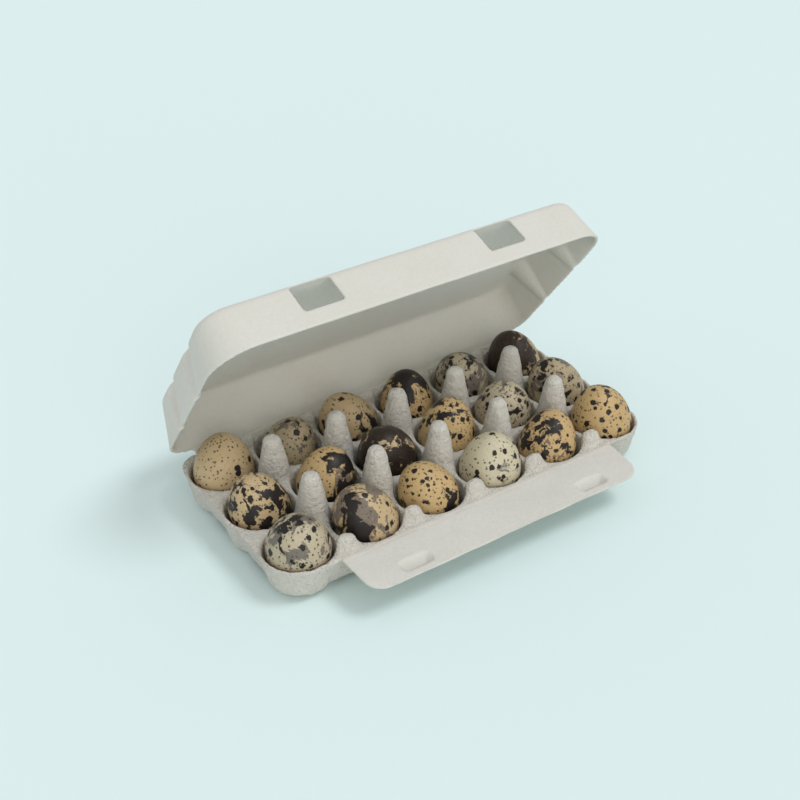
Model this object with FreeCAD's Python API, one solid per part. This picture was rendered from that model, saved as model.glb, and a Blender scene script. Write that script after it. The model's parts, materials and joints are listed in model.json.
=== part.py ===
"""Moulded-pulp egg carton for quail eggs: tray, hinged lid, lock flap and eighteen eggs.

Millimetres, +Z up. X runs along the carton and the lock flap is on the -Y side. The lid is
shown part open. The carton is drawn about the middle of its cup grid and then moved along Y, so
that the origin is the centre of the ground that the open carton covers.
"""
import FreeCAD
import Part
import math
import os

Vector = FreeCAD.Vector

# ---- driving dimensions -------------------------------------------------------------------
EGG_RADIUS = 13.0
EGG_HALF_LENGTH = 15.8
EGG_BLUNTNESS = 0.10        # how far the widest girth sits towards the blunt end
EGG_SEAT_GAP = 0.35         # between the egg and the cup floor

COLUMNS = 6                 # cups along X
ROWS = 3                    # cups along Y
WALL = 1.6                  # thickness of the pulp
DECK_HEIGHT = 17.0          # top skin of the deck between the cups

CUP_CLEARANCE = 1.5         # around the egg's girth, at the deck
CUP_RIDGE = 2.0             # between the mouths of neighbouring cups
CUP_DRAFT = 11.3            # degrees that the cup wall leans in towards its floor
CUP_HEEL_RADIUS = 5.0       # inside, where the wall turns into the floor

POST_OVER_EGGS = 3.45       # top of the hollow posts above an upright egg
POST_TIP_RADIUS = 3.9       # where the round tip starts
POST_TIP_ROUND = 1.9        # height of the round tip
POST_FOOT_RADIUS = 7.4      # at the deck

KNOB_HEIGHT = 5.6           # rim knobs above the deck
KNOB_FOOT_RADIUS = 5.0      # across the carton
KNOB_TOP_RADIUS = 2.8
KNOB_ROUND = 1.7            # height of the round top
KNOB_STRETCH = 1.45         # how much wider the knobs are along the rim
KNOB_INSET = 9.8            # from the outer cup centres out to the knobs

SKIRT_LIFT = 2.4            # gap under the side walls, so that the cups carry the carton
SKIRT_END_INSET = 0.6       # end walls inside the cups' outer skin, at the deck
SKIRT_END_DRAFT = 4.6       # how far the end walls lean in from the deck to the foot
SKIRT_SIDE_DRAFT = 5.4      # the same for the long walls
SKIRT_FRONT_CORNER = 16.5   # corner radii at the deck
SKIRT_REAR_CORNER = 11.0
SKIRT_FOOT_RADIUS = 10.0    # corner radius at the foot

CREASE_GAP = 0.65           # clear space beside each crease bead
REAR_FLANGE = 3.1           # from the outer cup wall back to the crease line
LID_HEADROOM = 0.7          # between the posts and the closed lid's top panel
LID_END_OVERHANG = 1.7      # closed lid's end wall beyond the end of the tray, outside
LID_FRONT_CLEARANCE = 0.6   # between the folded-up flap and the lid's front wall
LID_RIM_GAP = 0.4           # closed lid's rim above the deck
LID_FRONT_DRAFT = 17.0      # degrees
LID_REAR_DRAFT = 20.0
LID_END_DRAFT = 12.0
LID_FRONT_CORNER = 20.0     # corner radii of the rim
LID_REAR_CORNER = 13.5
LID_TOP_CORNER = 12.0       # corner radius of the top panel, before its edge is rounded
LID_BEND_RADIUS = 4.6       # outside radius where the walls turn into the top panel
LID_OPEN_ANGLE = 52.7       # how far the lid is open as shown
PLEAT_DEPTH = 3.4           # how deep the end-wall pleats reach at the top panel
PLEAT_STANDOFF = 6.5        # pleat cone axis outside the top panel's end

FLAP_HEADROOM = 1.9         # between the folded-up flap's edge and the closed lid's top panel
FLAP_ROOT_HALF = 68.0
FLAP_EDGE_HALF = 66.5
FLAP_CORNER = 7.5
FLAP_DROOP = 4.0            # degrees below level, as shown

BUTTON_OFFSET = 44.0        # lock buttons and slots, from the middle
BUTTON_REACH = 14.3         # crease to button centre
BUTTON_LENGTH = 15.6        # along X
BUTTON_WIDTH = 7.2
BUTTON_HEIGHT = 2.8
BUTTON_TAPER = 1.5          # each side, from root to face
DIMPLE_LIP = 0.4            # from the button's root in to the dimple behind it
SLOT_END_CLEARANCE = 1.1    # slot beyond each end of the button
SLOT_LOWER_CLEARANCE = 1.3  # slot below the button
SLOT_UPPER_CLEARANCE = 4.8  # slot above the button, up to the bend

# how each egg sits: size against the full egg, degrees from upright, heading of its upper end
EGG_SEATS = {
    "front": [(1.00, 24, -120), (1.00, 24, 175), (0.94, 28, 155),
              (0.99, 10, -60), (0.94, 28, 20), (1.01, 12, 160)],
    "middle": [(0.96, 16, 150), (0.94, 20, 10), (0.98, 24, -150),
               (0.96, 24, 30), (0.97, 20, -110), (0.98, 22, 150)],
    "rear": [(0.98, 14, 60), (0.89, 20, -20), (0.97, 24, 175),
             (0.92, 24, 60), (0.96, 24, -160), (0.94, 18, 130)],
}

# ---- derived values -----------------------------------------------------------------------
CUP_MOUTH_RADIUS = EGG_RADIUS + CUP_CLEARANCE
PITCH = 2 * CUP_MOUTH_RADIUS + CUP_RIDGE
POST_TIP_HEIGHT = WALL + EGG_SEAT_GAP + 2 * EGG_HALF_LENGTH + POST_OVER_EGGS
COLUMN_X = [(i - (COLUMNS - 1) / 2) * PITCH for i in range(COLUMNS)]
ROW_Y = [(j - (ROWS - 1) / 2) * PITCH for j in range(ROWS)]
GAP_X = [(a + b) / 2 for a, b in zip(COLUMN_X, COLUMN_X[1:])]
GAP_Y = [(a + b) / 2 for a, b in zip(ROW_Y, ROW_Y[1:])]
CUP_OUTER_RADIUS = CUP_MOUTH_RADIUS + WALL
CUPS_HALF_LENGTH = COLUMN_X[-1] + CUP_OUTER_RADIUS
CUPS_HALF_WIDTH = ROW_Y[-1] + CUP_OUTER_RADIUS
KNOB_Y = ROW_Y[-1] + KNOB_INSET

CREASE_RADIUS = WALL / 2
CREASE_Z = DECK_HEIGHT - WALL / 2
DECK_FRONT = -CUPS_HALF_WIDTH
FLAP_AXIS_Y = DECK_FRONT - CREASE_GAP - CREASE_RADIUS
LID_AXIS_Y = CUPS_HALF_WIDTH + REAR_FLANGE
DECK_REAR = LID_AXIS_Y - CREASE_GAP - CREASE_RADIUS

LID_HALF_LENGTH = CUPS_HALF_LENGTH + LID_END_OVERHANG
LID_RIM_Z = DECK_HEIGHT + LID_RIM_GAP
LID_HEIGHT = POST_TIP_HEIGHT + LID_HEADROOM + WALL - LID_RIM_Z
LID_REAR_Y = LID_AXIS_Y + 0.2
LID_CREASE_HALF = LID_HALF_LENGTH - LID_REAR_CORNER


def tan_deg(angle):
    """Tangent of an angle in degrees."""
    return math.tan(math.radians(angle))


def cos_deg(angle):
    """Cosine of an angle in degrees."""
    return math.cos(math.radians(angle))


# the flap folds up parallel to the lid's front wall, just inside it
FLAP_DEPTH = (LID_RIM_Z + LID_HEIGHT - WALL - FLAP_HEADROOM - CREASE_Z) / cos_deg(LID_FRONT_DRAFT)
FLAP_SKIN = WALL / 2 / cos_deg(LID_FRONT_DRAFT)
FLAP_FACE_AT_RIM = FLAP_AXIS_Y - FLAP_SKIN + (LID_RIM_Z - CREASE_Z) * tan_deg(LID_FRONT_DRAFT)
LID_FRONT_Y = FLAP_FACE_AT_RIM - (LID_FRONT_CLEARANCE + WALL) / cos_deg(LID_FRONT_DRAFT)


# ---- shape helpers ------------------------------------------------------------------------
def rounded_outline(half_length, y_front, y_rear, z, r_front, r_rear):
    """Closed wire of a rectangle at height z with its own front and rear corner radii."""
    corners = [
        (half_length, y_front, r_front, -90),
        (half_length, y_rear, r_rear, 0),
        (-half_length, y_rear, r_rear, 90),
        (-half_length, y_front, r_front, 180),
    ]
    arcs = []
    for x, y, radius, start in corners:
        centre = Vector(x - math.copysign(radius, x), y + (radius if y == y_front else -radius), z)
        points = [
            centre + Vector(radius * math.cos(math.radians(a)), radius * math.sin(math.radians(a)), 0)
            for a in (start, start + 45, start + 90)
        ]
        arcs.append(Part.Arc(*points).toShape())
    edges = []
    for arc, following in zip(arcs, arcs[1:] + arcs[:1]):
        edges.append(arc)
        edges.append(Part.makeLine(arc.lastVertex().Point, following.firstVertex().Point))
    return Part.Wire(Part.__sortEdges__(edges))


def tapered_block(lower, upper):
    """Solid between two outlines with the same number of edges."""
    return Part.makeLoft([lower, upper], True, True)


def spun(edges):
    """Solid of revolution about Z from edges drawn in the XZ plane, from axis to axis."""
    face = Part.Face(Part.Wire(edges))
    return face.revolve(Vector(0, 0, 0), Vector(0, 0, 1), 360)


def polyline(points):
    """Straight edges through (radius, height) points in the XZ plane."""
    corners = [Vector(r, 0, z) for r, z in points]
    return [Part.makeLine(a, b) for a, b in zip(corners, corners[1:])]


def arc_about(centre_x, centre_z, radius, start_angle, end_angle):
    """Arc in the XZ plane between two angles above level."""
    turns = [math.radians(a) for a in (start_angle, (start_angle + end_angle) / 2, end_angle)]
    return Part.Arc(*[Vector(centre_x + radius * math.cos(t), 0, centre_z + radius * math.sin(t))
                      for t in turns]).toShape()


def end_of(edge):
    """The (radius, height) where an arc drawn in the XZ plane ends."""
    point = edge.valueAt(edge.LastParameter)
    return point.x, point.z


def start_of(edge):
    """The (radius, height) where an arc drawn in the XZ plane starts."""
    point = edge.valueAt(edge.FirstParameter)
    return point.x, point.z


def at(shape, x, y, z=0.0):
    """Copy of a shape moved to x, y, z."""
    return shape.translated(Vector(x, y, z))


def joined(shapes):
    """One solid from several overlapping ones."""
    return shapes[0].multiFuse(shapes[1:])


def save(shape, node, shift_y):
    """Write one node's STEP file, moved along Y to the final origin."""
    at(shape, 0, shift_y).exportStep("parts/" + node + ".step")


# ---- tray ---------------------------------------------------------------------------------
def cup_form(skin, top):
    """Bowl of a cup, grown outwards by skin, with a straight neck from the deck up to top."""
    floor = WALL - skin
    heel_z = WALL + CUP_HEEL_RADIUS
    heel_x = (CUP_MOUTH_RADIUS - (DECK_HEIGHT - heel_z) * tan_deg(CUP_DRAFT)
              - CUP_HEEL_RADIUS / cos_deg(CUP_DRAFT))
    heel = arc_about(heel_x, heel_z, CUP_HEEL_RADIUS + skin, -90, -CUP_DRAFT)
    mouth = (CUP_MOUTH_RADIUS + skin / cos_deg(CUP_DRAFT), DECK_HEIGHT)
    wall = [end_of(heel), mouth]
    if top > DECK_HEIGHT:
        wall.append((mouth[0], top))
    edges = polyline([(0, floor), start_of(heel)])
    edges.append(heel)
    edges += polyline(wall + [(0, top), (0, floor)])
    return spun(edges)


def domed_cone(foot_radius, foot_z, top_radius, top_z, dome):
    """Cone with a round top of height dome."""
    ball = (top_radius**2 + dome**2) / (2 * dome)
    shoulder_angle = math.degrees(math.asin((ball - dome) / ball))
    cap = arc_about(0, top_z - ball, ball, shoulder_angle, 90)
    edges = polyline([(0, foot_z), (foot_radius, foot_z), start_of(cap)])
    edges.append(cap)
    edges += polyline([end_of(cap), (0, foot_z)])
    return spun(edges)


def post_form(skin):
    """Hollow post between four cups, shrunk by skin and rooted below the deck."""
    slope = (POST_FOOT_RADIUS - POST_TIP_RADIUS) / (POST_TIP_HEIGHT - POST_TIP_ROUND - DECK_HEIGHT)
    root_z = DECK_HEIGHT - 2 * WALL
    root_radius = POST_FOOT_RADIUS + slope * (DECK_HEIGHT - root_z) - skin
    return domed_cone(root_radius, root_z, POST_TIP_RADIUS - skin, POST_TIP_HEIGHT - skin,
                      POST_TIP_ROUND - skin / 2)


def knob_form(skin):
    """Long round knob on the front and rear rim between two cups, shrunk by skin."""
    root_z = DECK_HEIGHT - 2 * WALL
    knob = domed_cone(KNOB_FOOT_RADIUS - skin, root_z, KNOB_TOP_RADIUS - skin / 2,
                      DECK_HEIGHT + KNOB_HEIGHT - skin, KNOB_ROUND - skin / 4)
    stretch = FreeCAD.Matrix()
    stretch.scale(Vector(KNOB_STRETCH, 1, 1))
    return knob.transformGeometry(stretch)


def skirt_form(skin, foot_z):
    """Tapered block inside the tray's side walls, shrunk by skin at the walls and the deck."""
    drop = (DECK_HEIGHT - foot_z) / (DECK_HEIGHT - SKIRT_LIFT)
    end = CUPS_HALF_LENGTH - SKIRT_END_INSET - skin
    front = DECK_FRONT + skin
    rear = DECK_REAR - skin
    upper = rounded_outline(end, front, rear, DECK_HEIGHT,
                            SKIRT_FRONT_CORNER - skin, SKIRT_REAR_CORNER - skin)
    lower = rounded_outline(end - SKIRT_END_DRAFT * drop, front + SKIRT_SIDE_DRAFT * drop,
                            rear - (SKIRT_SIDE_DRAFT + REAR_FLANGE) * drop, foot_z,
                            SKIRT_FOOT_RADIUS - skin, SKIRT_FOOT_RADIUS - skin)
    block = tapered_block(lower, upper)
    if not skin:
        return block
    above = Part.makeBox(400, 400, 40, Vector(-200, -200, DECK_HEIGHT - skin))
    return block.cut(above)


def make_tray():
    """Cups, posts, rim knobs, deck and side walls as one open-bottomed shell."""
    cups = [(x, y) for x in COLUMN_X for y in ROW_Y]
    posts = [(x, y) for x in GAP_X for y in GAP_Y]
    knobs = [(x, y) for x in GAP_X for y in (-KNOB_Y, KNOB_Y)]
    knob_top = DECK_HEIGHT + KNOB_HEIGHT + WALL

    raised = [skirt_form(0.0, SKIRT_LIFT)]
    raised += [at(cup_form(WALL, DECK_HEIGHT), x, y) for x, y in cups]
    raised += [at(post_form(0.0), x, y) for x, y in posts]
    raised += [at(knob_form(0.0), x, y) for x, y in knobs]
    outer = joined(raised).cut([at(cup_form(0.0, knob_top), x, y) for x, y in cups])

    hollows = [skirt_form(WALL, -WALL)]
    hollows += [at(post_form(WALL), x, y) for x, y in posts]
    hollows += [at(knob_form(WALL), x, y) for x, y in knobs]
    inner = joined(hollows).cut([at(cup_form(WALL, knob_top), x, y) for x, y in cups])
    return outer.cut(inner)


# ---- lid ----------------------------------------------------------------------------------
def lid_block(skin):
    """Closed lid as a solid block, shrunk by skin, with its top edge rounded."""
    rise = LID_HEIGHT - skin
    front_lean = LID_HEIGHT * tan_deg(LID_FRONT_DRAFT)
    rear_lean = LID_HEIGHT * tan_deg(LID_REAR_DRAFT)
    end_lean = LID_HEIGHT * tan_deg(LID_END_DRAFT)
    share = rise / LID_HEIGHT
    front = LID_FRONT_Y + skin / cos_deg(LID_FRONT_DRAFT)
    rear = LID_REAR_Y - skin / cos_deg(LID_REAR_DRAFT)
    end = LID_HALF_LENGTH - skin / cos_deg(LID_END_DRAFT)
    lower = rounded_outline(end, front, rear, LID_RIM_Z,
                            LID_FRONT_CORNER - skin, LID_REAR_CORNER - skin)
    upper = rounded_outline(end - end_lean * share, front + front_lean * share,
                            rear - rear_lean * share, LID_RIM_Z + rise,
                            LID_TOP_CORNER - skin, LID_TOP_CORNER - skin)
    block = tapered_block(lower, upper)
    top = LID_RIM_Z + rise
    top_edges = [e for e in block.Edges if all(abs(v.Point.z - top) < 1e-6 for v in e.Vertexes)]
    return block.makeFillet(LID_BEND_RADIUS - skin, top_edges)


def pleat_forms(skin):
    """Cones that press the pleats into the end walls, between the rows of cups."""
    top_end = LID_HALF_LENGTH - LID_HEIGHT * tan_deg(LID_END_DRAFT)
    axis_x = top_end + PLEAT_STANDOFF
    top_radius = PLEAT_STANDOFF + PLEAT_DEPTH
    rim_radius = max(axis_x - LID_HALF_LENGTH, 0.0) + 1.0
    cone = Part.makeCone(rim_radius + skin, top_radius + skin, LID_HEIGHT)
    return [at(cone, side * axis_x, y, LID_RIM_Z) for side in (-1, 1) for y in GAP_Y]


def make_lid():
    """Lid shell with pleated ends, two lock slots and the crease bead, turned part open."""
    outer = lid_block(0.0).cut(pleat_forms(0.0))
    inner = lid_block(WALL).cut(pleat_forms(WALL))
    shell = outer.cut(inner)

    crease_x = Vector(-LID_CREASE_HALF, LID_AXIS_Y, CREASE_Z)
    bead = Part.makeCylinder(CREASE_RADIUS, 2 * LID_CREASE_HALF, crease_x, Vector(1, 0, 0))
    web = Part.makeBox(2 * LID_CREASE_HALF, WALL, LID_RIM_Z + WALL - CREASE_Z,
                       crease_x - Vector(0, WALL / 2, 0))
    lid = joined([shell, bead, web]).cut(slot_forms())
    lid.rotate(Vector(0, LID_AXIS_Y, CREASE_Z), Vector(1, 0, 0), -LID_OPEN_ANGLE)
    return lid


def slot_forms():
    """Boxes that cut the two lock slots through the closed lid's front wall."""
    length = BUTTON_LENGTH + 2 * SLOT_END_CLEARANCE
    rise = cos_deg(LID_FRONT_DRAFT)
    low = CREASE_Z + (BUTTON_REACH - BUTTON_WIDTH / 2 - SLOT_LOWER_CLEARANCE) * rise
    high = CREASE_Z + (BUTTON_REACH + BUTTON_WIDTH / 2 + SLOT_UPPER_CLEARANCE) * rise
    reach = LID_HEIGHT * tan_deg(LID_FRONT_DRAFT) + 4 * WALL
    return [
        Part.makeBox(length, reach, high - low,
                     Vector(side * BUTTON_OFFSET - length / 2, LID_FRONT_Y - WALL, low))
        for side in (-1, 1)
    ]


# ---- lock flap ----------------------------------------------------------------------------
def flap_sheet():
    """Flat flap with rounded free corners, level, hinged on the X axis."""
    run = Vector(FLAP_ROOT_HALF - FLAP_EDGE_HALF, FLAP_DEPTH, 0)
    taper = Vector(run).normalize() * FLAP_CORNER
    edges = []
    for side in (1, -1):
        root = Vector(side * FLAP_ROOT_HALF, 0, 0)
        corner = Vector(side * FLAP_EDGE_HALF, -FLAP_DEPTH, 0)
        before = corner + Vector(side * taper.x, taper.y, 0)
        after = corner - Vector(side * FLAP_CORNER, 0, 0)
        middle = corner + (before + after - corner * 2) * 0.29
        edges.append(Part.makeLine(root, before))
        edges.append(Part.Arc(before, middle, after).toShape())
    edges.append(Part.makeLine(Vector(FLAP_ROOT_HALF, 0, 0), Vector(-FLAP_ROOT_HALF, 0, 0)))
    free = Vector(FLAP_EDGE_HALF - FLAP_CORNER, -FLAP_DEPTH, 0)
    edges.append(Part.makeLine(free, Vector(-free.x, free.y, 0)))
    face = Part.Face(Part.Wire(Part.__sortEdges__(edges)))
    return face.extrude(Vector(0, 0, WALL)).translated(Vector(0, 0, -WALL / 2))


def button_form(inset_root, inset_face, root_z, face_z, side):
    """Tapered block inside a lock button's outline, inset at its root and at its face."""
    rings = []
    for inset, z in ((inset_face, face_z), (inset_root, root_z)):
        half = BUTTON_LENGTH / 2 - inset
        wide = BUTTON_WIDTH / 2 - inset
        rings.append(rounded_outline(half, -wide, wide, z, wide * 0.75, wide * 0.75))
    return at(tapered_block(*rings), side * BUTTON_OFFSET, -BUTTON_REACH)


def make_flap():
    """Lock flap with its crease bead and two hollow buttons, drooping from the deck."""
    bead = Part.makeCylinder(CREASE_RADIUS, 2 * FLAP_ROOT_HALF,
                             Vector(-FLAP_ROOT_HALF, 0, 0), Vector(1, 0, 0))
    lower = -WALL / 2 - BUTTON_HEIGHT
    buttons = [button_form(0.0, BUTTON_TAPER, 0.0, lower, side) for side in (-1, 1)]
    dimples = [button_form(DIMPLE_LIP, BUTTON_TAPER + WALL, WALL / 2, lower + WALL, side)
               for side in (-1, 1)]
    flap = joined([flap_sheet(), bead] + buttons).cut(dimples)
    flap.rotate(Vector(0, 0, 0), Vector(1, 0, 0), FLAP_DROOP)
    flap.translate(Vector(0, FLAP_AXIS_Y, CREASE_Z))
    return flap


# ---- eggs ---------------------------------------------------------------------------------
def egg_outline(size, steps):
    """Points (radius, 0, height) from the blunt end up to the tip of an upright egg."""
    points = []
    for i in range(steps + 1):
        turn = -math.pi / 2 + math.pi * i / steps
        radius = size * EGG_RADIUS * math.cos(turn) * (1 - EGG_BLUNTNESS * math.sin(turn))
        points.append(Vector(radius, 0, size * EGG_HALF_LENGTH * math.sin(turn)))
    points[0].x = 0.0
    points[-1].x = 0.0
    return points


def egg_form(size):
    """Upright egg about the origin, blunt end down."""
    points = egg_outline(size, 12)
    outline = Part.BSplineCurve()
    outline.interpolate(points, InitialTangent=Vector(1, 0, 0), FinalTangent=Vector(-1, 0, 0))
    axis = Part.makeLine(points[-1], points[0])
    return spun([outline.toShape(), axis])


def seated_egg(size, lean, heading, x, y):
    """Egg leaning in its cup, its girth centred there and its end just above the cup floor."""
    towards = Vector(math.cos(math.radians(heading)), math.sin(math.radians(heading)), 0)
    egg = egg_form(size)
    egg.rotate(Vector(0, 0, 0), Vector(-towards.y, towards.x, 0), lean)
    sine = math.sin(math.radians(lean))
    rise = max(p.x * sine - p.z * cos_deg(lean) for p in egg_outline(size, 120))
    slip = size * EGG_BLUNTNESS * EGG_HALF_LENGTH * sine
    return at(egg, x + slip * towards.x, y + slip * towards.y, WALL + EGG_SEAT_GAP + rise)


def main():
    """Build every node and print where the creases and cups end up."""
    os.makedirs("parts", exist_ok=True)
    lid = make_lid()
    flap = make_flap()
    shift_y = -(lid.optimalBoundingBox().YMax + flap.optimalBoundingBox().YMin) / 2
    save(make_tray(), "tray", shift_y)
    save(lid, "lid", shift_y)
    save(flap, "lock_flap", shift_y)
    for row, y in zip(("front", "middle", "rear"), ROW_Y):
        for number, (x, seat) in enumerate(zip(COLUMN_X, EGG_SEATS[row]), 1):
            save(seated_egg(*seat, x, y), "egg_%s_%d" % (row, number), shift_y)
    print("lid crease: y %.3f, z %.3f" % (LID_AXIS_Y + shift_y, CREASE_Z))
    print("flap crease: y %.3f, z %.3f" % (FLAP_AXIS_Y + shift_y, CREASE_Z))
    print("cup rows: y", [round(y + shift_y, 3) for y in ROW_Y])


main()
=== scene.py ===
"""Egg carton of moulded paper pulp, open, with eighteen quail eggs in its cups.

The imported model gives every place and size. This script softens its pulp shells, spins the
eggshells, fills the folded creases and dresses every piece, then sets the stage.
"""
import json
import logging
import math
from dataclasses import dataclass
from enum import Enum
from typing import Any, Iterable, Union

import bmesh
import bpy
import numpy as np
from mathutils import Matrix, Vector, noise


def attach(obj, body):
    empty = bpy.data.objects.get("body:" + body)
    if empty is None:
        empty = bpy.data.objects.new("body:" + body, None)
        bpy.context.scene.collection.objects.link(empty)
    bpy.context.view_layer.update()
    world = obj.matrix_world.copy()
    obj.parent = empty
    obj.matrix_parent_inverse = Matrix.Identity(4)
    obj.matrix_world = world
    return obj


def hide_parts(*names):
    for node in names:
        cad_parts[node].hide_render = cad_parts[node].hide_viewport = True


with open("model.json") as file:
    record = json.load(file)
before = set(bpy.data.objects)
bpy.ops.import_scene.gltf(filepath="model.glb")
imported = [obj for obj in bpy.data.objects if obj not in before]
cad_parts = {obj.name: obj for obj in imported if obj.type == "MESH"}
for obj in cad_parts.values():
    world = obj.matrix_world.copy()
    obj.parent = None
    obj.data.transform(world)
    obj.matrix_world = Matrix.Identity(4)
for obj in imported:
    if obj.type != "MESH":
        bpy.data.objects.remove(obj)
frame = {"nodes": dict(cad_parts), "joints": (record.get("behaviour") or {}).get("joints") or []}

LOG = logging.getLogger("egg_carton")
MM = 0.001
MERGE_DISTANCE = 0.001 * MM     # packed triangles share corners closer than this
EGG_RADIUS = 13.0 * MM
EGG_HALF_LENGTH = 15.8 * MM
UP = Vector((0.0, 0.0, 1.0))

Triple = tuple[float, float, float]
Colour = Triple
Number = Union[float, "Channel"]


# ---- named choices ------------------------------------------------------------------------
@dataclass(frozen=True)
class SkinRelief:
    """How uneven a pulp skin is: share of mottle in its colour, and two depths of relief."""

    mottle: float
    lumps: float
    felt: float


class PulpSide(Enum):
    """How the pulp's skin was left: as it dried, or pressed smooth."""

    DRIED = SkinRelief(mottle=0.40, lumps=1.50 * MM, felt=0.55 * MM)
    PRESSED = SkinRelief(mottle=0.25, lumps=0.22 * MM, felt=0.17 * MM)


class Ground(Enum):
    """Ground colours of the eggshells, as linear red, green and blue."""

    CREAM = (0.430, 0.370, 0.254)
    GREENISH = (0.518, 0.472, 0.333)
    TAN = (0.463, 0.347, 0.194)
    GOLDEN = (0.476, 0.333, 0.155)
    OLIVE = (0.389, 0.319, 0.199)


def tinted(colour: Colour, tint: Colour) -> Colour:
    """Multiply a colour by a tint, channel by channel."""
    red, green, blue = (level * share for level, share in zip(colour, tint))
    return red, green, blue


def scaled(colour: Colour, share: float) -> Colour:
    """Multiply a colour by one share."""
    return tinted(colour, (share, share, share))


# ---- shader graph -------------------------------------------------------------------------
@dataclass(frozen=True)
class Fade:
    """Two levels of a value: a mark is absent at the first and full at the second."""

    absent: float
    full: float

    def raised(self, level: float) -> "Fade":
        """The same fade about another level."""
        return Fade(level + self.absent, level + self.full)


class Channel:
    """A shader value. Python arithmetic on it adds Math nodes."""

    def __init__(self, graph: "ShaderGraph", socket: bpy.types.NodeSocket) -> None:
        """Hold an output socket of the graph."""
        self.graph = graph
        self.socket = socket

    def _math(self, operation: str, first: Number, second: Number) -> "Channel":
        """Add one Math node.

        Args:
            operation: The node's operation.
            first: Its first value.
            second: Its second value.

        Returns:
            The node's result.
        """
        made = self.graph.node("ShaderNodeMath", {"operation": operation}, {0: first, 1: second})
        return Channel(self.graph, made.outputs[0])

    def __add__(self, other: Number) -> "Channel":
        """Sum."""
        return self._math("ADD", self, other)

    def __radd__(self, other: Number) -> "Channel":
        """Sum with a number on the left."""
        return self._math("ADD", other, self)

    def __sub__(self, other: Number) -> "Channel":
        """Difference."""
        return self._math("SUBTRACT", self, other)

    def __rsub__(self, other: Number) -> "Channel":
        """Difference from a number on the left."""
        return self._math("SUBTRACT", other, self)

    def __mul__(self, other: Number) -> "Channel":
        """Product."""
        return self._math("MULTIPLY", self, other)

    def __rmul__(self, other: Number) -> "Channel":
        """Product with a number on the left."""
        return self._math("MULTIPLY", other, self)

    def at_least(self, other: Number) -> "Channel":
        """The larger of two values."""
        return self._math("MAXIMUM", self, other)

    def faded(self, fade: Fade) -> "Channel":
        """Smooth ramp from 0 at the fade's first level to 1 at its second."""
        made = self.graph.node("ShaderNodeMapRange", {"interpolation_type": "SMOOTHSTEP"}, {
            "Value": self, "From Min": fade.absent, "From Max": fade.full})
        return Channel(self.graph, made.outputs["Result"])


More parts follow.
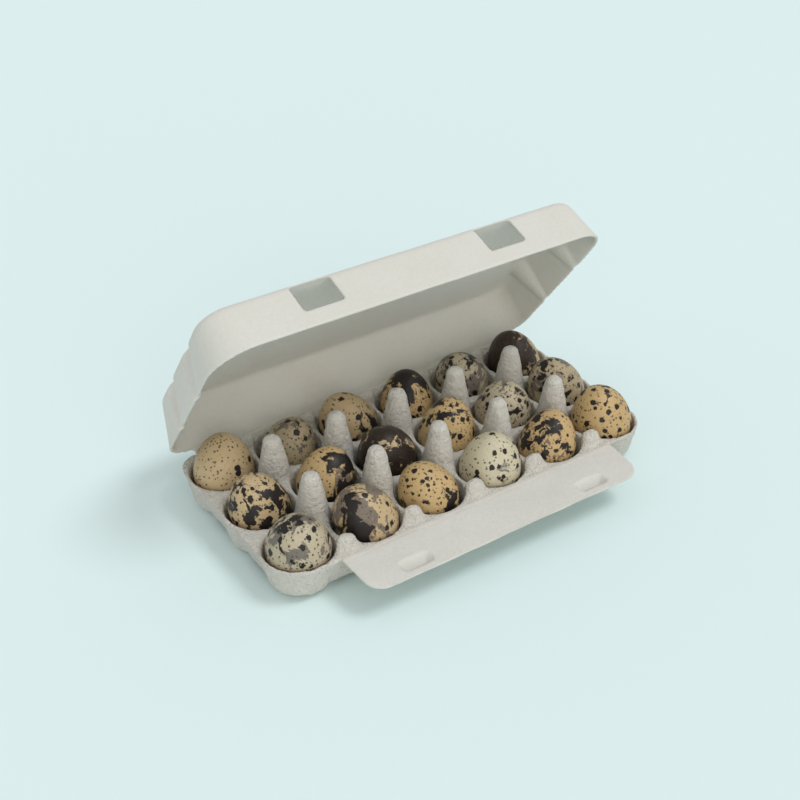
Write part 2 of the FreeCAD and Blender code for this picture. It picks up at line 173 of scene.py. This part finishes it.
class ShaderGraph:
    """One material and the nodes that are added to it."""

    def __init__(self, name: str) -> None:
        """Start a material with a Principled shader and Object coordinates."""
        self.material = bpy.data.materials.new(name)
        self.material.use_nodes = True
        self.tree = self.material.node_tree
        self.shader = self.tree.nodes["Principled BSDF"]
        self.coordinates = self.node("ShaderNodeTexCoord", {}, {}).outputs["Object"]

    @staticmethod
    def _socket(sockets: Any, key: Union[int, str]) -> bpy.types.NodeSocket:
        """Find a socket by position, name or identifier, leaving out the hidden ones."""
        if isinstance(key, int):
            return sockets[key]
        return next(s for s in sockets if s.enabled and key in (s.name, s.identifier))

    def node(self, kind: str, settings: dict[str, Any], inputs: dict[Any, Any]) -> bpy.types.Node:
        """Add any node.

        Args:
            kind: The node's type.
            settings: Its own properties.
            inputs: Values, sockets or channels for its input sockets.

        Returns:
            The new node.
        """
        made = self.tree.nodes.new(kind)
        for key, value in settings.items():
            setattr(made, key, value)
        for key, value in inputs.items():
            self.feed(self._socket(made.inputs, key), value)
        return made

    def feed(self, socket: bpy.types.NodeSocket, value: Any) -> None:
        """Link a channel or socket to an input, or set its value."""
        if isinstance(value, Channel):
            value = value.socket
        if isinstance(value, bpy.types.NodeSocket):
            self.tree.links.new(value, socket)
        elif isinstance(value, tuple) and socket.type == "RGBA":
            socket.default_value = (*value[:3], 1.0)
        else:
            socket.default_value = value

    def placed(self, centre: Vector, stretch: Triple = (1.0, 1.0, 1.0)) -> bpy.types.NodeSocket:
        """Object coordinates measured from a centre and stretched along the axes."""
        moved = self.node("ShaderNodeVectorMath", {"operation": "SUBTRACT"},
                          {0: self.coordinates, 1: tuple(centre)})
        scaled = self.node("ShaderNodeVectorMath", {"operation": "MULTIPLY"},
                           {0: moved.outputs[0], 1: stretch})
        return scaled.outputs[0]

    def clouds(self, where: bpy.types.NodeSocket, size: float, detail: float = 2.0,
               rough: float = 0.5, twist: float = 0.0) -> Channel:
        """Noise with lumps of about the given size.

        Args:
            where: Coordinates to read.
            size: Size of the lumps in metres.
            detail: Octaves.
            rough: Strength of the finer octaves.
            twist: Distortion.

        Returns:
            The noise value, about 0.5 on average.
        """
        made = self.node("ShaderNodeTexNoise", {}, {
            "Vector": where, "Scale": 1.0 / size, "Detail": detail,
            "Roughness": rough, "Distortion": twist})
        return Channel(self, made.outputs[0])

    def cells(self, where: bpy.types.NodeSocket, size: float) -> tuple[Channel, Channel]:
        """Scattered points about one size apart.

        Args:
            where: Coordinates to read.
            size: Distance between neighbouring points, in metres.

        Returns:
            Distance to the nearest point in sizes, and that point's own random value.
        """
        made = self.node("ShaderNodeTexVoronoi", {}, {"Vector": where, "Scale": 1.0 / size})
        split = self.node("ShaderNodeSeparateColor", {}, {"Color": made.outputs["Color"]})
        return Channel(self, made.outputs["Distance"]), Channel(self, split.outputs[0])

    def ragged(self, where: bpy.types.NodeSocket, size: float,
               reach: float) -> bpy.types.NodeSocket:
        """Push coordinates about by noise, which roughens the outline of what reads them.

        Args:
            where: Coordinates to push.
            size: Size of the noise's lumps in metres.
            reach: How far the noise pushes, in metres from end to end.

        Returns:
            The pushed coordinates.
        """
        made = self.node("ShaderNodeTexNoise", {}, {
            "Vector": where, "Scale": 1.0 / size, "Detail": 2.0})
        centred = self.node("ShaderNodeVectorMath", {"operation": "SUBTRACT"},
                            {0: made.outputs["Color"], 1: (0.5, 0.5, 0.5)})
        pushed = self.node("ShaderNodeVectorMath", {"operation": "SCALE"},
                           {0: centred.outputs[0], "Scale": reach})
        summed = self.node("ShaderNodeVectorMath", {"operation": "ADD"},
                           {0: where, 1: pushed.outputs[0]})
        return summed.outputs[0]

    def along(self, where: bpy.types.NodeSocket, direction: Vector) -> Channel:
        """Distance of a point along a direction."""
        made = self.node("ShaderNodeVectorMath", {"operation": "DOT_PRODUCT"},
                         {0: where, 1: tuple(direction)})
        return Channel(self, made.outputs["Value"])

    def mix(self, amount: Number, low: Any, high: Any) -> bpy.types.NodeSocket:
        """Blend two colours by an amount."""
        made = self.node("ShaderNodeMix", {"data_type": "RGBA"}, {
            "Factor_Float": amount, "A_Color": low, "B_Color": high})
        return self._socket(made.outputs, "Result_Color")

    def bump(self, height: Channel, depth: float, under: Any = None) -> bpy.types.NodeSocket:
        """Raise the surface by height, up to depth metres, over another bump."""
        inputs = {"Height": height, "Distance": depth, "Strength": 1.0}
        if under is not None:
            inputs["Normal"] = under
        return self.node("ShaderNodeBump", {}, inputs).outputs[0]

    def finish(self, **inputs: Any) -> bpy.types.Material:
        """Feed the shader's sockets, named with underscores for spaces.

        Args:
            inputs: Values, sockets or channels by the sockets' names.

        Returns:
            The finished material.
        """
        for key, value in inputs.items():
            self.feed(self._socket(self.shader.inputs, key.replace("_", " ")), value)
        return self.material


# ---- finishes -----------------------------------------------------------------------------
@dataclass(frozen=True)
class PulpFinish:
    """Moulded paper pulp: felted fibres, soft mottling, small pits and stray flecks."""

    name: str
    colour: Colour = (0.655, 0.635, 0.585)
    shade: Colour = (0.560, 0.535, 0.480)
    side: PulpSide = PulpSide.PRESSED
    fibre_length: float = 2.2 * MM
    fibre_width: float = 0.28 * MM
    patch_size: float = 30 * MM
    mottle_size: float = 1.7 * MM
    flock_size: float = 0.7 * MM
    fleck_gap: float = 2.6 * MM
    fleck_strength: float = 0.30
    fleck_share: float = 0.55
    patch_fade: Fade = Fade(0.32, 0.70)
    mottle_fade: Fade = Fade(0.30, 0.75)
    fibre_fade: Fade = Fade(0.38, 0.62)
    fleck_fade: Fade = Fade(0.13, 0.07)
    fleck_rarity: Fade = Fade(0.66, 0.72)

    def _fibres(self, graph: ShaderGraph) -> Channel:
        """Felted fibres lying in three directions, each from its own part of the noise."""
        directions = 3
        total: Number = 0.0
        for turn in range(directions):
            stretch = [1.0, 1.0, 1.0]
            stretch[turn] = self.fibre_width / self.fibre_length
            where = graph.placed(Vector((0.31 * turn, 0.17, 0.05 * turn)), tuple(stretch))
            total = total + graph.clouds(where, self.fibre_width, detail=1.0, twist=0.4)
        return total * (1.0 / directions)

    def _flecks(self, graph: ShaderGraph) -> Channel:
        """Few small flecks with a ragged outline."""
        ragged = graph.ragged(graph.coordinates, 1.0 * MM, 0.6 * MM)
        near, own = graph.cells(ragged, self.fleck_gap)
        return near.faded(self.fleck_fade) * own.faded(self.fleck_rarity)

    def build(self) -> bpy.types.Material:
        """Make the material.

        Returns:
            The material.
        """
        graph = ShaderGraph(self.name)
        relief = self.side.value
        fibres = self._fibres(graph)
        patches = graph.clouds(graph.coordinates, self.patch_size, detail=3.0)
        mottle = graph.clouds(graph.coordinates, self.mottle_size, detail=3.0, rough=0.6)
        flock = graph.clouds(graph.coordinates, self.flock_size, rough=0.6)

        depth = (patches.faded(self.patch_fade) * 0.30
                 + mottle.faded(self.mottle_fade) * relief.mottle
                 + fibres.faded(self.fibre_fade) * 0.30)
        base = graph.mix(depth, self.colour, self.shade)
        base = graph.mix(self._flecks(graph) * self.fleck_strength, base,
                         scaled(self.shade, self.fleck_share))
        rounded = graph.bump(mottle, relief.lumps)
        normal = graph.bump(fibres * 0.7 + flock * 0.7, relief.felt, rounded)
        return graph.finish(
            Base_Color=base, Roughness=0.86 + 0.10 * fibres, Normal=normal,
            Sheen_Weight=0.10, Sheen_Roughness=0.6, Specular_IOR_Level=0.25)


@dataclass(frozen=True)
class ShellFinish:
    """Quail eggshell: ground colour, faint under-blotches, specks, spots and dark blotches.

    specks, spots, blotches and veil say how much of the shell each kind of mark takes. The
    marks gather on the side that towards points to.
    """

    ground: Ground
    specks: float = 0.5
    spots: float = 0.3
    blotches: float = 0.3
    veil: float = 0.15
    blotch_size: float = 7.0 * MM
    towards: Triple = (0.0, 0.0, 1.0)
    gather: float = 0.0
    spot_gap: float = 3.9 * MM
    ink: Colour = (0.009, 0.006, 0.005)
    veil_grey: Colour = (0.090, 0.078, 0.083)
    warm_tint: Colour = (0.88, 0.82, 0.74)
    pale_tint: Colour = (1.10, 1.12, 1.18)
    brown_share: float = 0.20
    rim_share: float = 0.42
    ink_lift: float = 2.0
    cloud_size: float = 16 * MM
    grain_size: float = 0.9 * MM
    veil_size: float = 8.5 * MM
    speck_gap: float = 1.5 * MM
    pore_gap: float = 0.55 * MM
    pore_depth: float = 0.035 * MM
    pigment_depth: float = 0.06 * MM
    cloud_fade: Fade = Fade(0.35, 0.68)
    warm_fade: Fade = Fade(0.42, 0.66)
    veil_edge: Fade = Fade(0.0, 0.05)
    speck_edge: Fade = Fade(0.06, -0.04)
    speck_rarity: Fade = Fade(0.0, 0.04)
    spot_edge: Fade = Fade(0.05, -0.04)
    spot_rarity: Fade = Fade(0.0, 0.02)
    blotch_edge: Fade = Fade(0.0, 0.025)
    halo_edge: Fade = Fade(-0.035, 0.005)
    ink_fade: Fade = Fade(0.40, 0.70)
    pore_fade: Fade = Fade(0.0, 0.35)

    def _ground(self, graph: ShaderGraph, where: bpy.types.NodeSocket,
                grain: Channel) -> bpy.types.NodeSocket:
        """Ground colour, pale in some parts and warm in its grain."""
        clouds = graph.clouds(where, self.cloud_size)
        base = graph.mix(clouds.faded(self.cloud_fade),
                         tinted(self.ground.value, self.pale_tint), self.ground.value)
        return graph.mix(grain.faded(self.warm_fade) * 0.45, base,
                         tinted(self.ground.value, self.warm_tint))

    def _veil(self, graph: ShaderGraph, where: bpy.types.NodeSocket, side: Channel) -> Channel:
        """Grey blotches that lie deep in the shell."""
        field = graph.clouds(where, self.veil_size, detail=3.0, rough=0.6, twist=0.6) + side * 0.6
        return field.faded(self.veil_edge.raised(0.66 - 0.30 * self.veil))

    def _specks(self, graph: ShaderGraph, where: bpy.types.NodeSocket) -> Channel:
        """Small brown specks, the rarer ones left out."""
        near, own = graph.cells(graph.ragged(where, 0.6 * MM, 0.5 * MM), self.speck_gap)
        inside = (near - (0.12 + 0.24 * own)).faded(self.speck_edge)
        return inside * own.faded(self.speck_rarity.raised(1.0 - self.specks))

    def _spots(self, graph: ShaderGraph, ragged: bpy.types.NodeSocket) -> Channel:
        """Dark spots, the rarer ones left out."""
        near, own = graph.cells(ragged, self.spot_gap)
        inside = (near - (0.12 + 0.28 * own)).faded(self.spot_edge)
        return inside * own.faded(self.spot_rarity.raised(1.0 - self.spots))

    def build(self, name: str, centre: Vector, seed: int) -> bpy.types.Material:
        """Make the material for one egg.

        Args:
            name: The material's name.
            centre: Middle of the egg.
            seed: Number that moves the pattern, so that no two eggs match.

        Returns:
            The material.
        """
        graph = ShaderGraph(name)
        where = graph.placed(centre + Vector((0.37, -0.21, 0.13)) * (seed + 1))
        side = graph.along(graph.placed(centre), Vector(self.towards).normalized())
        side = side * (self.gather / EGG_RADIUS)

        grain = graph.clouds(where, self.grain_size, detail=3.0, rough=0.6)
        base = self._ground(graph, where, grain)
        base = graph.mix(self._veil(graph, where, side) * (0.64 + 0.30 * grain), base,
                         self.veil_grey)
        specks = self._specks(graph, where)
        base = graph.mix(specks * 0.92, base, scaled(self.ground.value, self.brown_share))

        ragged = graph.ragged(where, 1.6 * MM, 1.5 * MM)
        field = graph.clouds(ragged, self.blotch_size, detail=3.0, rough=0.55, twist=0.5) + side
        level = 0.74 - 0.34 * self.blotches
        blotches = field.faded(self.blotch_edge.raised(level))
        pigment = self._spots(graph, ragged).at_least(blotches)
        halo = field.faded(self.halo_edge.raised(level)) * 0.5
        base = graph.mix(halo, base, scaled(self.ground.value, self.rim_share))
        deep = graph.mix(grain.faded(self.ink_fade), self.ink, scaled(self.ink, self.ink_lift))
        base = graph.mix(pigment, base, deep)

        pores = graph.cells(where, self.pore_gap)[0]
        shell = graph.bump(pores.faded(self.pore_fade), self.pore_depth)
        normal = graph.bump(pigment + specks * 0.5 + grain * 0.6, self.pigment_depth, shell)
        return graph.finish(Base_Color=base, Roughness=0.44 - 0.06 * pigment + 0.12 * grain,
                            Normal=normal, Specular_IOR_Level=0.36)


@dataclass(frozen=True)
class StageFinish:
    """Plain pale paint of the floor."""

    colour: Colour = (0.714, 0.859, 0.860)
    roughness: float = 0.95
    shine: float = 0.1

    def build(self) -> bpy.types.Material:
        """Make the floor's material."""
        return ShaderGraph("stage_paint").finish(
            Base_Color=self.colour, Roughness=self.roughness, Specular_IOR_Level=self.shine)


# ---- mesh helpers -------------------------------------------------------------------------
def new_piece(name: str, form: bmesh.types.BMesh,
              material: bpy.types.Material) -> bpy.types.Object:
    """Turn a bmesh into a smooth-shaded object at the origin.

    Args:
        name: Name of the piece.
        form: The finished bmesh, which is freed.
        material: Its only material.

    Returns:
        The new object, linked to the scene.
    """
    for face in form.faces:
        face.smooth = True
    mesh = bpy.data.meshes.new(name)
    form.to_mesh(mesh)
    form.free()
    mesh.materials.append(material)
    piece = bpy.data.objects.new(name, mesh)
    bpy.context.scene.collection.objects.link(piece)
    return piece


def apply_modifier(piece: bpy.types.Object, kind: str, **settings: Any) -> None:
    """Add a modifier, set it and apply it to the mesh."""
    modifier = piece.modifiers.new(kind.lower(), kind)
    for key, value in settings.items():
        setattr(modifier, key, value)
    graph = bpy.context.evaluated_depsgraph_get()
    shaped = bpy.data.meshes.new_from_object(piece.evaluated_get(graph))
    piece.modifiers.clear()
    old = piece.data
    piece.data = shaped
    bpy.data.meshes.remove(old)


# ---- pulp shells --------------------------------------------------------------------------
@dataclass
class PulpShell:
    """A pulp panel of the carton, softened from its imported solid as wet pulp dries: every edge
    turns round and the skin dries a little uneven."""

    node: str
    finish: PulpFinish
    voxel: float = 0.8 * MM
    rounds: int = 2
    lump_size: float = 3.6 * MM
    lump_depth: float = 0.30 * MM
    lump_sink: float = 0.6
    fuzz_size: float = 1.5 * MM
    fuzz_depth: float = 0.16 * MM
    fuzz_sink: float = 0.3
    triangle_limit: int = 185_000

    def _copied(self) -> bmesh.types.BMesh:
        """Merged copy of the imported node's mesh."""
        form = bmesh.new()
        form.from_mesh(frame["nodes"][self.node].data)
        bmesh.ops.remove_doubles(form, verts=form.verts, dist=MERGE_DISTANCE)
        return form

    def _unevenness(self, place: Vector) -> float:
        """How far the dried skin stands above the moulded one at a place."""
        lump = noise.noise(place / self.lump_size)
        fuzz = noise.noise(place / self.fuzz_size)
        return (self.lump_depth * (lump - self.lump_sink)
                + self.fuzz_depth * (fuzz - self.fuzz_sink))

    def _keep_inside(self, piece: bpy.types.Object) -> None:
        """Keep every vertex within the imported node's own box."""
        places = np.array([v.co for v in frame["nodes"][self.node].data.vertices])
        low, high = places.min(0), places.max(0)
        for vertex in piece.data.vertices:
            vertex.co = np.clip(np.array(vertex.co), low, high)

    def _dry(self, piece: bpy.types.Object) -> None:
        """Round the edges by smoothing, then sink the skin unevenly."""
        form = bmesh.new()
        form.from_mesh(piece.data)
        for _ in range(self.rounds):
            bmesh.ops.smooth_vert(form, verts=form.verts, factor=0.5,
                                  use_axis_x=True, use_axis_y=True, use_axis_z=True)
        form.normal_update()
        moves = [v.normal * self._unevenness(v.co) for v in form.verts]
        for vertex, move in zip(form.verts, moves):
            vertex.co += move
        form.to_mesh(piece.data)
        form.free()

    def build(self) -> bpy.types.Object:
        """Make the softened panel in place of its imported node.

        Returns:
            The panel.
        """
        material = self.finish.build()
        piece = new_piece(self.node + "_pulp", self._copied(), material)
        apply_modifier(piece, "REMESH", mode="VOXEL", voxel_size=self.voxel)
        self._dry(piece)
        triangles = sum(len(p.vertices) - 2 for p in piece.data.polygons)
        if triangles > self.triangle_limit:
            apply_modifier(piece, "DECIMATE", ratio=self.triangle_limit / triangles)
        self._keep_inside(piece)
        piece.data.shade_smooth()
        piece.data.materials.clear()
        piece.data.materials.append(material)
        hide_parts(self.node)
        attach(piece, self.node)
        LOG.info("%s: %d triangles", piece.name, triangles)
        return piece


@dataclass
class Crease:
    """Pulp left in a folded crease, from the deck's edge to the axis of the fold."""

    name: str
    joint: str
    outward: float
    half_length: float
    finish: PulpFinish
    reach: float = 2.4 * MM
    thickness: float = 1.25 * MM
    segments: int = 120
    edge_round: float = 0.35 * MM
    sharp_angle: float = 0.5
    wave_length: float = 5 * MM
    wave_depth: float = 0.12 * MM
    wave_row: float = 7.0

    def _strip(self, middle: Vector) -> bmesh.types.BMesh:
        """Straight strip with cuts along its length and round edges."""
        form = bmesh.new()
        bmesh.ops.create_cube(form, size=1.0)
        size = Vector((2 * self.half_length, self.reach, self.thickness))
        bmesh.ops.scale(form, vec=size, verts=form.verts)
        bmesh.ops.translate(form, vec=middle, verts=form.verts)
        lengthwise = [e for e in form.edges
                      if abs(e.verts[0].co.x - e.verts[1].co.x) > self.half_length]
        bmesh.ops.subdivide_edges(form, edges=lengthwise, cuts=self.segments, use_grid_fill=True)
        sharp = [e for e in form.edges if abs(e.calc_face_angle(0.0)) > self.sharp_angle]
        bmesh.ops.bevel(form, geom=sharp, offset=self.edge_round, segments=3, profile=0.5,
                        material=-1, affect="EDGES")
        return form

    def build(self) -> bpy.types.Object:
        """Make the strip along the fold.

        Returns:
            The strip, which rides on the tray because the fold turns about its far edge.
        """
        axis = next(Vector(j["pos_m"]) for j in frame["joints"] if j["name"] == self.joint)
        form = self._strip(axis - Vector((0, self.outward * self.reach / 2, 0)))
        for vertex in form.verts:
            wave = noise.noise(Vector((vertex.co.x / self.wave_length, self.wave_row, 0.0)))
            vertex.co.z += self.wave_depth * wave
        piece = new_piece(self.name, form, self.finish.build())
        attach(piece, "tray")
        LOG.info("%s: %d faces", piece.name, len(piece.data.polygons))
        return piece


# ---- eggs ---------------------------------------------------------------------------------
@dataclass
class Egg:
    """A quail egg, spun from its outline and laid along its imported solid's long axis."""

    node: str
    finish: ShellFinish
    seed: int
    slenderness: float = EGG_RADIUS / EGG_HALF_LENGTH
    bluntness: float = 0.10
    rings: int = 48
    steps: int = 80
    pole_gap: float = 0.01 * MM

    def _pose(self) -> tuple[Vector, Vector, float]:
        """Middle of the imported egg, the direction of its pointed end and half its length."""
        mesh = frame["nodes"][self.node].data
        places = np.array([v.co for v in mesh.vertices], float)
        spread = places - places.mean(0)
        axes = np.linalg.svd(spread, full_matrices=False)[2]
        axis = Vector(axes[0])
        if axis.z < 0:
            axis.negate()
        along = spread @ np.array(axis)
        middle = Vector(places.mean(0)) + axis * float(along.max() + along.min()) / 2
        return middle, axis, float(along.max() - along.min()) / 2

    def _spun(self, half_length: float) -> bmesh.types.BMesh:
        """Closed upright egg about the origin, blunt end down."""
        form = bmesh.new()
        outline = []
        for ring in range(self.rings + 1):
            turn = -math.pi / 2 + math.pi * ring / self.rings
            reach = math.cos(turn) * (1 - self.bluntness * math.sin(turn)) * self.slenderness
            outline.append(form.verts.new((max(reach, 0.0) * half_length, 0.0,
                                           math.sin(turn) * half_length)))
        edges = [form.edges.new(pair) for pair in zip(outline, outline[1:])]
        bmesh.ops.spin(form, geom=outline + edges, cent=(0, 0, 0), axis=UP,
                       dvec=(0, 0, 0), angle=2 * math.pi, steps=self.steps,
                       use_merge=True, use_normal_flip=False, use_duplicate=False)
        bmesh.ops.remove_doubles(form, verts=form.verts, dist=self.pole_gap)
        bmesh.ops.recalc_face_normals(form, faces=form.faces)
        return form

    def build(self) -> bpy.types.Object:
        """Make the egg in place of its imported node.

        Returns:
            The egg.
        """
        middle, axis, half_length = self._pose()
        form = self._spun(half_length)
        turn = UP.rotation_difference(axis).to_matrix().to_4x4()
        bmesh.ops.transform(form, matrix=Matrix.Translation(middle) @ turn, verts=form.verts)
        material = self.finish.build(self.node + "_shell", middle, self.seed)
        piece = new_piece(self.node + "_eggshell", form, material)
        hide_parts(self.node)
        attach(piece, self.node)
        LOG.info("%s: %d faces", piece.name, len(piece.data.polygons))
        return piece


@dataclass
class EggRows:
    """The eighteen eggs, each with its own shell, from left to right in each row."""

    # Each line: ground colour; specks, spots, blotches, veil; size of the blotches; the side
    # that the marks gather on, and how strongly; distance between spots where it differs.
    front: tuple[ShellFinish, ...] = (
        ShellFinish(Ground.CREAM, 0.60, 0.36, 0.20, 0.36, 6 * MM, (0.1, -0.1, 1.0), 0.08),
        ShellFinish(Ground.TAN, 0.60, 0.35, 0.22, 0.46, 8 * MM, (-0.9, -0.1, 0.5), 0.18),
        ShellFinish(Ground.GOLDEN, 1.00, 1.00, 0.48, 0.02, 5 * MM, (0.6, -0.6, -0.4), 0.12,
                    3 * MM),
        ShellFinish(Ground.GREENISH, 0.40, 0.45, 0.10, 0.02, 5 * MM, (0.0, -0.6, -0.8), 0.14),
        ShellFinish(Ground.GOLDEN, 1.00, 0.80, 0.44, 0.20, 5 * MM, (-0.5, 0.0, 0.4), 0.08),
        ShellFinish(Ground.GOLDEN, 0.60, 0.55, 0.18, 0.05, 5 * MM, (0.3, 0.2, 0.7), 0.12),
    )
    middle: tuple[ShellFinish, ...] = (
        ShellFinish(Ground.TAN, 0.90, 1.00, 0.70, 0.05, 5 * MM, (0.6, -0.5, -0.3), 0.06,
                    4 * MM),
        ShellFinish(Ground.GOLDEN, 0.50, 0.30, 0.44, 0.02, 8 * MM, (0.5, -0.8, -0.1), 0.24),
        ShellFinish(Ground.TAN, 0.80, 0.60, 1.04, 0.30, 5 * MM, ink=(0.018, 0.011, 0.007)),
        ShellFinish(Ground.GOLDEN, 1.00, 0.55, 0.16, 0.10, 6 * MM, (-0.3, 0.0, 1.0), 0.16),
        ShellFinish(Ground.CREAM, 1.00, 0.75, 0.20, 0.15, 5 * MM, (-0.2, -0.3, 0.8), 0.08),
        ShellFinish(Ground.OLIVE, 0.80, 0.55, 0.32, 0.25, 6 * MM, (-0.6, 0.0, 0.8), 0.10),
    )
    rear: tuple[ShellFinish, ...] = (
        ShellFinish(Ground.TAN, 0.65, 0.18, 0.02, 0.06, 6 * MM),
        ShellFinish(Ground.OLIVE, 0.65, 0.30, 0.10, 0.06, 6 * MM, (0.2, -0.1, 1.0), 0.08),
        ShellFinish(Ground.TAN, 0.60, 0.20, 0.22, 0.08, 8 * MM, (0.5, -0.8, -0.5), 0.22),
        ShellFinish(Ground.GOLDEN, 0.90, 0.45, 0.50, 0.12, 6 * MM, (0.2, 0.0, 1.0), 0.16),
        ShellFinish(Ground.CREAM, 0.60, 0.30, 0.34, 0.44, 7 * MM, (-0.2, -0.3, 0.5), 0.10),
        ShellFinish(Ground.TAN, 0.70, 0.40, 0.66, 0.35, 6 * MM, (-0.9, -0.2, 0.3), 0.24,
                    ink=(0.024, 0.015, 0.009)),
    )

    def build(self) -> list[bpy.types.Object]:
        """Make every egg."""
        made = []
        for row, finishes in (("front", self.front), ("middle", self.middle), ("rear", self.rear)):
            for number, finish in enumerate(finishes, 1):
                made.append(Egg(f"egg_{row}_{number}", finish, len(made)).build())
        return made


# ---- carton -------------------------------------------------------------------------------
@dataclass
class Carton:
    """The pulp moulding: tray, lid and lock flap with the creases between them."""

    tray: PulpFinish = PulpFinish("tray_pulp", side=PulpSide.DRIED)
    lid: PulpFinish = PulpFinish("lid_pulp", (0.650, 0.656, 0.621), (0.608, 0.588, 0.520))
    flap: PulpFinish = PulpFinish("flap_pulp", (0.655, 0.652, 0.612), (0.575, 0.566, 0.522))
    crease: PulpFinish = PulpFinish("crease_pulp")
    rear_half: float = 81.5 * MM
    front_half: float = 67.6 * MM

    def build(self) -> list[bpy.types.Object]:
        """Make the panels and the creases."""
        panels = [
            PulpShell("tray", self.tray),
            PulpShell("lid", self.lid, voxel=0.7 * MM, lump_size=13 * MM, lump_depth=0.16 * MM,
                      fuzz_depth=0.03 * MM),
            PulpShell("lock_flap", self.flap, voxel=0.42 * MM, rounds=4, lump_size=12 * MM,
                      fuzz_depth=0.03 * MM),
        ]
        creases = [
            Crease("rear_crease", "lid_hinge", 1.0, self.rear_half, self.crease),
            Crease("front_crease", "flap_hinge", -1.0, self.front_half, self.crease),
        ]
        return [part.build() for part in (*panels, *creases)]


# ---- stage --------------------------------------------------------------------------------
@dataclass(frozen=True)
class Lamp:
    """A far soft light, even over the whole floor.

    direction points from the carton to the light, spread is how wide the light looks in
    degrees, and strength is in watts per square metre.
    """

    name: str
    direction: Triple
    spread: float
    strength: float
    colour: Colour = (1.0, 1.0, 1.0)

    def build(self) -> bpy.types.Object:
        """Add the light to the scene."""
        data = bpy.data.lights.new(self.name, "SUN")
        data.energy = self.strength
        data.angle = math.radians(self.spread)
        data.color = self.colour
        light = bpy.data.objects.new(self.name, data)
        bpy.context.scene.collection.objects.link(light)
        turn = Vector(self.direction).normalized().to_track_quat("Z", "Y")
        light.matrix_world = turn.to_matrix().to_4x4()
        return light


@dataclass
class Studio:
    """Floor, soft light and camera."""

    azimuth: float = -33.75
    elevation: float = 33.05
    roll: float = -0.62
    distance: float = 552.9 * MM
    lens: float = 58.88
    sensor_width: float = 36.0
    nearest: float = 10 * MM
    aim: Triple = (0.0, 3.09 * MM, 38.0 * MM)
    aim_right: float = -7.375 * MM
    aim_up: float = 1.124 * MM
    floor_reach: float = 40.0
    sky: Colour = (0.62, 0.625, 0.63)
    lamps: tuple[Lamp, ...] = (
        Lamp("key", (0.43, -0.35, 1.00), 22.0, 0.97),
        Lamp("fill", (-0.35, -0.93, 0.33), 60.0, 1.10, (1.0, 0.935, 0.835)),
    )

    def _look(self) -> tuple[Vector, Vector, Vector]:
        """Right, up and back directions of the camera."""
        turn, rise, tilt = (math.radians(a) for a in (self.azimuth, self.elevation, self.roll))
        back = Vector((math.sin(turn) * math.cos(rise), -math.cos(turn) * math.cos(rise),
                       math.sin(rise)))
        flat = Vector((math.cos(turn), math.sin(turn), 0.0))
        head = back.cross(flat)
        right = math.cos(tilt) * flat + math.sin(tilt) * head
        up = -math.sin(tilt) * flat + math.cos(tilt) * head
        return right, up, back

    def camera(self) -> bpy.types.Object:
        """Add the camera and make it the scene's."""
        right, up, back = self._look()
        place = (Vector(self.aim) + right * self.aim_right + up * self.aim_up
                 + back * self.distance)
        data = bpy.data.cameras.new("camera")
        data.lens = self.lens
        data.sensor_width = self.sensor_width
        data.clip_start = self.nearest
        camera = bpy.data.objects.new("camera", data)
        bpy.context.scene.collection.objects.link(camera)
        turn = Matrix((right, up, back)).transposed().to_4x4()
        camera.matrix_world = Matrix.Translation(place) @ turn
        bpy.context.scene.camera = camera
        return camera

    def floor(self) -> bpy.types.Object:
        """Add the floor."""
        form = bmesh.new()
        bmesh.ops.create_grid(form, x_segments=1, y_segments=1, size=self.floor_reach)
        floor = new_piece("floor", form, StageFinish().build())
        return floor

    def air(self) -> bpy.types.World:
        """Fill the room with even soft light."""
        world = bpy.data.worlds.new("studio")
        world.use_nodes = True
        background = world.node_tree.nodes["Background"]
        background.inputs["Color"].default_value = (*self.sky, 1.0)
        bpy.context.scene.world = world
        return world

    def build(self) -> None:
        """Set the whole stage."""
        self.camera()
        self.floor()
        for lamp in self.lamps:
            lamp.build()
        self.air()
        bpy.context.scene.view_settings.view_transform = "Standard"


def main() -> None:
    """Build the stage, the carton and the eggs."""
    logging.basicConfig(level=logging.INFO)
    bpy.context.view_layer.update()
    Studio().build()
    pieces = Carton().build() + EggRows().build()
    LOG.info("%d pieces", len(pieces))


if __name__ == "__main__":
    main()
